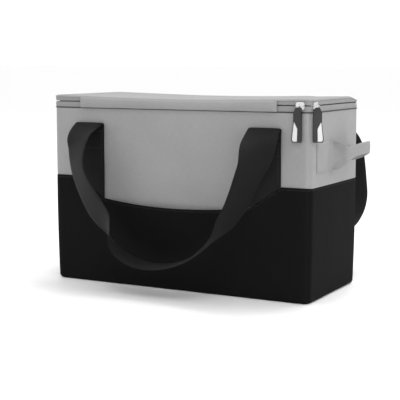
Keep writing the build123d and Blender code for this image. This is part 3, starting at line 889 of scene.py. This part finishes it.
def storm_flap():
    """Rings of one puffed section from end to end, thinner and rounder at the two ends."""
    top, bottom = flap_high.z - 0.6 * mm, flap_low.z + 0.1 * mm
    back_y, face = -half_depth - 1.3 * mm, 3.6 * mm
    rings = []
    for x in np.concatenate([
        np.linspace(flap_low.x, flap_low.x + 4 * mm, 6)[:-1],
        np.linspace(flap_low.x + 4 * mm, flap_high.x - 4 * mm, 140),
        np.linspace(flap_high.x - 4 * mm, flap_high.x, 6)[1:],
    ]):
        end = min(x - flap_low.x, flap_high.x - x)
        fullness = 0.35 + 0.65 * math.sqrt(min(1.0, end / (5 * mm)))
        wave = 0.25 * mm * noise.noise((x * 40, 3.0, 8.0))
        t = np.linspace(0, 1, 14)
        z = top + (bottom - top) * t + 0.15 * mm * noise.noise((x * 30, 1.0, 2.0)) * t
        bulge = np.sin(math.pi * t**0.8) ** 0.6 * (face - 1.4 * mm) * fullness
        hem = 0.35 * mm * np.exp(-(((z - bottom - 3 * mm) / (0.7 * mm)) ** 2))
        front = back_y - 1.2 * mm * fullness - bulge - wave * np.sin(math.pi * t) + hem
        rear = np.full(len(t), back_y)
        rear[0] = front[0] + 0.5 * mm
        outer = np.stack([np.full(len(t), x), front, z], 1)
        inner = np.stack([np.full(len(t), x), rear, z], 1)
        ring = np.concatenate([outer, inner[::-1]])
        share = np.clip((ring[:, 2] - bottom) / (top - bottom), 0, 1)
        ring[:, 2] -= lid_sag(x, 0, lid_top) * share
        rings.append(ring)
    return loft("flap_cloth", rings, grey_cloth, crease=60)


settle(storm_flap(), "flap", "grey_fabric", "storm_flap", fill=0.5)

# %% [markdown]
# ## Webbing straps and handles
# Each handle is one long piece of webbing. It is sewn up the front, folds over at the top of the
# sewn part, hangs down as a loop and is sewn down again on the other side. It lies flat at its
# folds and on edge at its lowest point.

# %% Sewn straps
web_half, web_thick = 21 * mm, 2.0 * mm
web_rows = 9


def web_section(half_width=web_half, thickness=web_thick, crown=0.15 * mm):
    """Across the webbing: places across and heights, with rounded edges, as a closed ring."""
    across = half_width * np.sin(np.linspace(-math.pi / 2, math.pi / 2, web_rows) * 0.96)
    across = across / across.max() * half_width
    edge = np.sqrt(np.clip(1 - (np.abs(across) / half_width) ** 12, 0, 1))
    top = thickness / 2 * (0.35 + 0.65 * edge) + crown * (1 - (across / half_width) ** 2)
    return np.concatenate([across, across[::-1]]), np.concatenate([top, -top[::-1]])


def sewn_strap(name, side, x, low_in, low_out, high):
    """Webbing that lies on a wall; its lower end is cut along the pocket's slanted edge."""
    across, lift = web_section()
    face = 1 if side == "back" else -1
    rings = []
    for t in np.linspace(0, 1, 40):
        ring = []
        for c, h in zip(across, lift):
            share = (c * (1 if x > 0 else -1) / web_half + 1) / 2
            low = low_in + (low_out - low_in) * share
            z = low + (high - low) * t
            away = float(give(side, abs(x + c), z)) + half_depth + 1.3 * mm + h
            ring.append((x + c, face * away, z))
        rings.append(ring)
    return loft(name, rings, webbing_cloth, crease=50)


strap_top = strap_high.z
edge_in, edge_out = mouth_corner + 0.5 * mm, seam + 0.5 * mm
for x, word in ((-strap_middle, "left"), (strap_middle, "right")):
    settle(sewn_strap(f"front_webbing_{word}", "front", x, edge_in, edge_out, strap_top),
           "bag", "webbing", f"front_strap_{word}")
    back_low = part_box(f"back_strap_{word}")[0].z
    settle(sewn_strap(f"back_webbing_{word}", "back", x, back_low, back_low, strap_top),
           "bag", "webbing", f"back_strap_{word}")

# %% [markdown]
# The loop's points are measured from the fold's axis, with the turn of the webbing's width in
# degrees. Most were fitted to the real handle by a separate calculation and not chosen by hand,
# and they repeat the CAD model's lists. A smooth curve through them carries the section. The
# fold itself is a roll round the axis.

# %% Paths of the two handles
fold_y, fold_z = 82.7 * mm, 208.5 * mm
front_route = [
    (-128, -17, -9, 12), (-126, -27, -21, 24), (-124, -34, -40, 32), (-121, -36, -56, 33),
    (-113, -37, -74, 29), (-103, -37, -90, 23), (-92, -37, -105, 21), (-81, -38, -117, 27),
    (-74, -39, -129, 44), (-67, -40, -143, 62), (-55, -42, -156, 72), (-35, -43, -166, 80),
    (-12, -44, -170, 84), (13, -45, -168, 84), (34, -45, -162, 80), (52, -45, -153, 77),
    (67, -44, -141, 77), (79, -43, -130, 83), (89, -41, -118, 96), (96, -39, -106, 106),
    (106, -37, -90, 111), (113, -35, -73, 113), (120, -33, -54, 118), (126, -31, -38, 127),
    (128.5, -26, -21, 148), (128, -17, -9, 168),
]
back_route = [
    (-121, 17, -10, 8), (-111, 31, -27, 16), (-97, 42, -48, 26), (-78, 51, -72, 38),
    (-55, 58, -96, 52), (-27, 64, -118, 66), (4, 69, -136, 78), (38, 72, -150, 90),
    (72, 75, -158, 101), (105, 76, -158, 112), (134, 76, -148, 124), (146, 73, -129, 135),
    (152, 70, -106, 146), (152, 64, -78, 153), (151.5, 57, -53, 158), (152, 47, -33, 162),
    (149, 34, -18, 167), (139, 18, -7, 174),
]


# %% Build a handle along its path
def smooth_path(knots, spacing):
    """Points at even spacing on a smooth curve through the knots, with all their columns."""
    knots = np.array(knots, float)
    gaps = np.linalg.norm(np.diff(knots[:, :3], axis=0), axis=1) ** 0.5
    at = np.concatenate([[0], np.cumsum(gaps)])
    slopes = np.gradient(knots, at, axis=0)
    path = []
    for i in range(len(knots) - 1):
        steps = max(2, math.ceil(np.linalg.norm(knots[i + 1, :3] - knots[i, :3]) / spacing))
        for t in np.linspace(0, 1, steps, endpoint=False):
            span = at[i + 1] - at[i]
            h = (2 * t**3 - 3 * t**2 + 1, t**3 - 2 * t**2 + t, -2 * t**3 + 3 * t**2, t**3 - t**2)
            path.append(h[0] * knots[i] + h[1] * span * slopes[i]
                        + h[2] * knots[i + 1] + h[3] * span * slopes[i + 1])
    return np.array(path + [knots[-1]])


def handle(name, side, route):
    """Webbing from one sewn strap over the fold, along the route and back over the other fold."""
    face = 1 if side == "back" else -1
    roll = fold_y - half_depth - 1.3 * mm
    lead = []
    for angle in np.radians([-25, 0, 25, 50, 75, 100, 120]):
        y = face * (fold_y - roll * (math.cos(angle) if angle > 0 else 1))
        z = fold_z + (roll * math.sin(angle) if angle > 0 else angle * 9 * mm)
        lead.append((y, z))
    knots = [(-strap_middle, y, z, 0.0) for y, z in lead]
    knots += [(x * mm, face * fold_y + y * mm, fold_z + z * mm, turn) for x, y, z, turn in route]
    knots += [(strap_middle, y, z, 180.0) for y, z in lead[::-1]]
    path = smooth_path(knots, 4 * mm)
    across, lift = web_section()
    rings = []
    for i, (x, y, z, turn) in enumerate(path):
        before, after = path[max(i - 1, 0)], path[min(i + 1, len(path) - 1)]
        along = Vector(after[:3] - before[:3])
        if abs(abs(x) - strap_middle) < 0.2 * mm and abs(turn % 180) < 1:
            along.x = 0
        along.normalize()
        width = Vector((math.cos(math.radians(turn)), -math.sin(math.radians(turn)), 0))
        width = (width - along * width.dot(along)).normalized()
        up = width.cross(along)
        rings.append([Vector((x, y, z)) + width * c + up * h for c, h in zip(across, lift)])
    piece = loft(name, rings, webbing_cloth, crease=50)
    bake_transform(piece)
    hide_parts(f"{side}_handle")
    length = np.linalg.norm(np.diff(path[:, :3], axis=0), axis=1).sum()
    print(f"{name}: {length / mm:.0f} mm of webbing")
    return piece


handle("front_handle_webbing", "front", front_route)
handle("back_handle_webbing", "back", back_route)

# %% [markdown]
# ## The grab handle
# On the right side a strip of the grey cloth is sewn down as a patch, folded to a narrow double
# band that stands out far enough for a hand, and sewn down again near the back.

# %% The patch, the far end and the loop
side_skin = half_length + 0.2 * mm


def sewn_patch(name, node):
    """A flat patch on the right wall with soft edges, following the wall's swell."""
    low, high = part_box(node)
    ys, zs = np.linspace(low.y, high.y, 24), np.linspace(low.z, high.z, 20)
    rings = []
    for y in ys:
        edge_y = min(y - low.y, high.y - y)
        edge = np.minimum(edge_y, np.minimum(zs - low.z, high.z - zs))
        rise = 1.5 * mm * (0.35 + 0.65 * np.clip(edge / (1.2 * mm), 0, 1) ** 0.5)
        base = give("right", y, zs) + 0.1 * mm
        dents = 0.12 * mm * ripple(np.full(len(zs), y), zs, 11, 90)
        outs = np.concatenate([base + rise + dents, base[::-1]])
        rings.append(on_wall("right", y, outs, np.concatenate([zs, zs[::-1]])))
    return loft(name, rings, grey_cloth, crease=60)


settle(sewn_patch("grab_patch_cloth", "grab_handle_patch"), "bag", "grey_fabric",
       "grab_handle_patch")
settle(sewn_patch("grab_end_cloth", "grab_handle_anchor"), "bag", "grey_fabric",
       "grab_handle_anchor")

# %% [markdown]
# The strip leaves the patch at full height, then its two long edges are folded in behind it until
# it is a narrow band. The fold pulls the cloth into a scoop beside the patch, which is where its
# deepest shade lies.

# %% The loop of the grab handle
patch_low, patch_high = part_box("grab_handle_patch")
anchor_low, anchor_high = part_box("grab_handle_anchor")
patch_z, anchor_z = (patch_low.z + patch_high.z) / 2, (anchor_low.z + anchor_high.z) / 2
gap = anchor_low.y - patch_high.y
loop_knots = [          # out from the side, share of the gap, rise, height, scoop
    (0.9, -0.05, patch_z / mm, 35.4, 0.0),
    (3.5, 0.02, patch_z / mm + 0.3, 35.0, 4.0),
    (8.0, 0.05, patch_z / mm + 0.6, 34.0, 9.0),
    (14.0, 0.10, patch_z / mm + 1.0, 28.0, 9.0),
    (19.0, 0.165, patch_z / mm + 2.0, 18.5, 3.5),
    (24.0, 0.245, patch_z / mm + 4.2, 16.0, 0.8),
    (31.0, 0.37, patch_z / mm + 7.6, 15.0, 0.2),
    (35.5, 0.51, patch_z / mm + 9.0, 15.0, 0.0),
    (35.5, 0.63, patch_z / mm + 9.0, 15.0, 0.0),
    (31.5, 0.74, patch_z / mm + 7.5, 16.0, 0.2),
    (23.0, 0.82, anchor_z / mm + 6.0, 18.0, 0.4),
    (11.5, 0.90, anchor_z / mm + 2.0, 18.0, 0.6),
    (4.0, 0.95, anchor_z / mm + 0.5, 17.5, 0.2),
    (0.9, 1.05, anchor_z / mm, 17.0, 0.0),
]
band_thick = 3.0 * mm


def grab_loop():
    """Rings across the strip along its path, thick where it is folded, with rolled edges."""
    knots = [(side_skin + out * mm, patch_high.y + share * gap, z * mm, height * mm, scoop * mm)
             for out, share, z, height, scoop in loop_knots]
    path = smooth_path(knots, 2.0 * mm)
    places = np.sin(np.linspace(-math.pi / 2, math.pi / 2, 15) * 0.97)
    places /= places.max()
    rings, middle_line = [], []
    for i, (x, y, z, height, scoop) in enumerate(path):
        before, after = path[max(i - 1, 0)], path[min(i + 1, len(path) - 1)]
        along = Vector((after[0] - before[0], after[1] - before[1], 0)).normalized()
        if i < 2 or i > len(path) - 3:
            along = Vector((0, 1, 0))
        out = Vector((along.y, -along.x, 0))
        folded = np.clip((34 * mm - height) / (15 * mm), 0, 1)
        thick = 1.4 * mm + (band_thick - 1.4 * mm) * folded
        edge = np.sqrt(np.clip(1 - np.abs(places) ** 8, 0, 1))
        face = thick / 2 * (0.3 + 0.7 * edge)
        hollow = -scoop * (1 - places**2) + scoop * 0.5
        groove = 0.3 * mm * folded * sum(
            np.exp(-(((places - side) / 0.12) ** 2)) for side in (-0.62, 0.62)
        )
        crease = 0.2 * mm * noise.noise((i * 0.35, 2.0, 5.0))
        ring = [Vector((x, y, z + p * height / 2)) + out * float(f + h - g + crease)
                for p, f, h, g in zip(places, face, hollow, groove)]
        ring += [Vector((x, y, z + p * height / 2)) + out * float(-f + h + crease)
                 for p, f, h in zip(places[::-1], face[::-1], hollow[::-1])]
        rings.append(ring)
        middle_line.append((Vector((x, y, z)), along, out, height, thick, folded, hollow))
    return loft("grab_loop_cloth", rings, grey_cloth, crease=60), middle_line


grab_piece, grab_line = grab_loop()
settle(grab_piece, "bag", "grey_fabric", "grab_handle_loop")

# %% [markdown]
# ## Stitches and zipper teeth
# A seam is one small shape repeated along a line, which is what Geometry Nodes do best. The tree
# below takes a line, spreads points along it, puts a bead of a given size on each, turned along
# the line, and makes the beads real. Thread stitches are long thin beads, and the nylon coil's
# teeth are short wide ones.

# %% The tree that puts beads along a line
def bead_tree():
    """Geometry nodes with named inputs: spacing, the bead's size and its material."""
    tree = bpy.data.node_groups.new("beads_along_a_line", "GeometryNodeTree")
    tree.is_modifier = True
    face = tree.interface
    face.new_socket("Geometry", in_out="INPUT", socket_type="NodeSocketGeometry")
    for name, kind in (("Spacing", "Float"), ("Length", "Float"), ("Width", "Float"),
                       ("Height", "Float"), ("Material", "Material")):
        face.new_socket(name, in_out="INPUT", socket_type=f"NodeSocket{kind}")
    face.new_socket("Geometry", in_out="OUTPUT", socket_type="NodeSocketGeometry")

    def add(kind, **links):
        node = tree.nodes.new(kind)
        for socket, value in links.items():
            socket = socket.replace("_", " ")
            if isinstance(value, bpy.types.NodeSocket):
                tree.links.new(value, node.inputs[socket])
            else:
                node.inputs[socket].default_value = value
        return node

    given = tree.nodes.new("NodeGroupInput").outputs
    line = add("GeometryNodeMeshToCurve", Mesh=given["Geometry"])
    points = tree.nodes.new("GeometryNodeCurveToPoints")
    points.mode = "LENGTH"
    tree.links.new(line.outputs["Curve"], points.inputs["Curve"])
    tree.links.new(given["Spacing"], points.inputs["Length"])
    turn = tree.nodes.new("FunctionNodeAlignRotationToVector")
    turn.axis = "X"
    tree.links.new(points.outputs["Tangent"], turn.inputs["Vector"])
    upright = tree.nodes.new("FunctionNodeAlignRotationToVector")
    upright.axis, upright.pivot_axis = "Z", "X"
    tree.links.new(turn.outputs["Rotation"], upright.inputs["Rotation"])
    upright.inputs["Vector"].default_value = (0, 0, 1)
    size = tree.nodes.new("ShaderNodeCombineXYZ")
    for axis, name in zip("XYZ", ("Length", "Width", "Height")):
        tree.links.new(given[name], size.inputs[axis])
    bead = add("GeometryNodeMeshUVSphere", Segments=8, Rings=5, Radius=0.5)
    smooth = add("GeometryNodeSetShadeSmooth", Geometry=bead.outputs["Mesh"])
    placed = add(
        "GeometryNodeInstanceOnPoints", Points=points.outputs["Points"],
        Instance=smooth.outputs["Geometry"], Rotation=upright.outputs["Rotation"],
        Scale=size.outputs["Vector"],
    )
    real = add("GeometryNodeRealizeInstances", Geometry=placed.outputs["Instances"])
    coloured = add("GeometryNodeSetMaterial", Geometry=real.outputs["Geometry"],
                   Material=given["Material"])
    out = tree.nodes.new("NodeGroupOutput")
    tree.links.new(coloured.outputs["Geometry"], out.inputs["Geometry"])
    return tree


beads = bead_tree()
socket_of = {item.name: item.identifier for item in beads.interface.items_tree
             if item.in_out == "INPUT"}
print("inputs of the tree:", sorted(socket_of))


# %% Rows of beads on one body
def bead_rows(name, lines, body, slot, material, spacing, length, width, height, nodes=()):
    """Runs the tree on lines of points, keeps the result as a plain mesh and lets it ride."""
    vertices, edges = [], []
    for line in lines:
        start = len(vertices)
        vertices += [tuple(p) for p in line]
        edges += [(start + i, start + i + 1) for i in range(len(line) - 1)]
    mesh = bpy.data.meshes.new(name)
    mesh.from_pydata(vertices, edges, [])
    piece = bpy.data.objects.new(name, mesh)
    bpy.context.scene.collection.objects.link(piece)
    modifier = piece.modifiers.new("beads", "NODES")
    modifier.node_group = beads
    for label, value in (("Spacing", spacing), ("Length", length), ("Width", width),
                         ("Height", height), ("Material", material)):
        modifier[socket_of[label]] = value
    bpy.context.view_layer.update()
    result = bpy.data.meshes.new_from_object(
        piece.evaluated_get(bpy.context.evaluated_depsgraph_get())
    )
    piece.modifiers.remove(modifier)
    piece.data = result
    result.name = name
    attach(piece, body)
    if nodes:
        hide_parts(*nodes)
    print(f"{name}: {len(result.polygons)} faces on {body}")
    return piece


# %% Lines for the seams
thread_proud = 0.12 * mm


def wall_line(side, z, out, low=None, high=None, spacing=4 * mm, extra=None):
    """A level line on a wall, at a height that may change along it."""
    low = -half_wall[side] if low is None else low
    high = half_wall[side] if high is None else high
    line = []
    for a in np.arange(low, high + spacing / 2, spacing):
        level = z(a) if callable(z) else z
        bulge = float(give(side, a, level)) + (float(extra(a, level)) if extra else 0)
        line.append(on_wall(side, a, out + bulge, level))
    return line


stitch = {"spacing": 3.2 * mm, "length": 2.4 * mm, "width": 0.42 * mm, "height": 0.42 * mm}
seam_lines = [wall_line(side, seam - 2.5 * mm, 0.35 * mm + thread_proud)
              for side in ("right", "back", "left")]
pocket_lines = [
    wall_line("front", lambda a: pocket_top(a) - 2.8 * mm, pocket_out + thread_proud,
              extra=pocket_swell)
]
bead_rows("black_seam_stitches", seam_lines + pocket_lines, "bag", "black_fabric",
          black_thread, **stitch)

# %% Box stitches on the straps and the grab handle
side_thread = side_skin + 1.55 * mm


def box_line(points):
    """A closed line through corner points, with points between them."""
    line = []
    for p, q in zip(points, points[1:] + points[:1]):
        p, q = Vector(p), Vector(q)
        pieces = max(1, round((q - p).length / (2 * mm)))
        line += [p + (q - p) * k / pieces for k in range(pieces)]
    return line + [Vector(points[0])]


def patch_box(low, high, margin):
    """A box of stitches just inside the edge of a patch."""
    ys, zs = (low.y + margin, high.y - margin), (low.z + margin, high.z - margin)
    corners = [(ys[0], zs[0]), (ys[1], zs[0]), (ys[1], zs[1]), (ys[0], zs[1])]
    return box_line([
        (side_thread + float(give("right", y, z)), y, z) for y, z in corners
    ])


grab_lines = [patch_box(patch_low, patch_high, 2 * mm), patch_box(anchor_low, anchor_high, 2 * mm)]
for inner in (11 * mm, 14 * mm):
    grab_lines.append([
        (side_thread + float(give("right", patch_low.y + inner, z)), patch_low.y + inner, z)
        for z in np.arange(patch_low.z + 2 * mm, patch_high.z - 2 * mm, 2 * mm)
    ])
for level in (-0.62, 0.62):
    for sign in (1, -1):
        grab_lines.append([
            spot + out * (sign * thick / 2 + float(hollow[7])) + Vector((0, 0, level * tall / 2))
            for spot, along, out, tall, thick, folded, hollow in grab_line
            if folded > 0.75
        ])
bead_rows("grab_handle_stitches", grab_lines, "bag", "grey_fabric", grey_thread,
          spacing=2.6 * mm, length=1.9 * mm, width=0.4 * mm, height=0.4 * mm)


def strap_box(side, x, low, high):
    """Two rows near the edges of a sewn strap and a row across its top."""
    face = 1 if side == "back" else -1

    def on_strap(dx, z):
        away = float(give(side, abs(x + dx), z)) + half_depth + 2.4 * mm
        return Vector((x + dx, face * away, z))

    inner = 17.5 * mm
    zs = np.arange(low, high, 3 * mm)
    sides = [[on_strap(dx, z) for z in zs] for dx in (-inner, inner)]
    across = [[on_strap(dx, z) for dx in np.arange(-inner, inner + 1 * mm, 3 * mm)]
              for z in (high, high - 22 * mm)]
    return sides + across


strap_lines = []
for x in (-strap_middle, strap_middle):
    strap_lines += strap_box("front", x, seam + 5 * mm, strap_top - 4 * mm)
    strap_lines += strap_box("back", x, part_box("back_strap_left")[0].z + 3 * mm,
                             strap_top - 4 * mm)
bead_rows("strap_stitches", strap_lines, "bag", "webbing", black_thread, **stitch)

# %% Top stitching on the lid
lid_lines = []
for side in facing:
    line = []
    for a in wall_stations(side, 5 * mm):
        p = Vector(on_wall(side, a, -4.0 * mm, lid_top + 0.05 * mm))
        p.z -= float(lid_sag(p.x, p.y, p.z))
        line.append(p)
    lid_lines.append(line)
bead_rows("lid_stitches", lid_lines, "lid", "grey_fabric", grey_thread, **stitch)

# %% The zipper's two coils
teeth = {"spacing": 1.35 * mm, "length": 0.8 * mm, "width": 2.0 * mm, "height": 1.5 * mm}
coils = (("lower", "bag", slit[0] - 0.5 * mm), ("upper", "lid", slit[1] + 0.5 * mm))
for word, body, height in coils:
    lines = []
    for side in around:
        low = -half_wall[side] if side != "left" else -straight[side] + 3 * mm
        high = half_wall[side] if side != "right" else straight[side] - 3 * mm
        line = []
        for a in np.linspace(low, high, 160):
            p = Vector(on_wall(side, a, -0.9 * mm, height))
            p.z -= float(lid_sag(p.x, p.y, p.z))
            line.append(p)
        lines.append(line)
    bead_rows(f"{word}_coil_teeth", lines, body, "coil", coil_nylon,
              nodes=(f"zipper_coil_{word}",), **teeth)

# %% [markdown]
# ## Hard pieces from the CAD model
# The sliders, their bails, the links and the moulded pulls already have their true shape, so they
# stay as they are and only change their material.

# %% Materials for the kept pieces
kept = {
    chrome: ("front_slider", "side_slider", "front_slider_bail", "side_slider_bail",
             "front_pull_link", "side_pull_link", "zipper_end_stops"),
    pull_black: ("front_pull_tab", "side_pull_tab"),
    pull_pale: ("front_pull_inset", "side_pull_inset"),
}
for material, nodes in kept.items():
    for node in nodes:
        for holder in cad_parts[node].material_slots:
            holder.material = material
print("kept CAD pieces:", sum(len(nodes) for nodes in kept.values()))
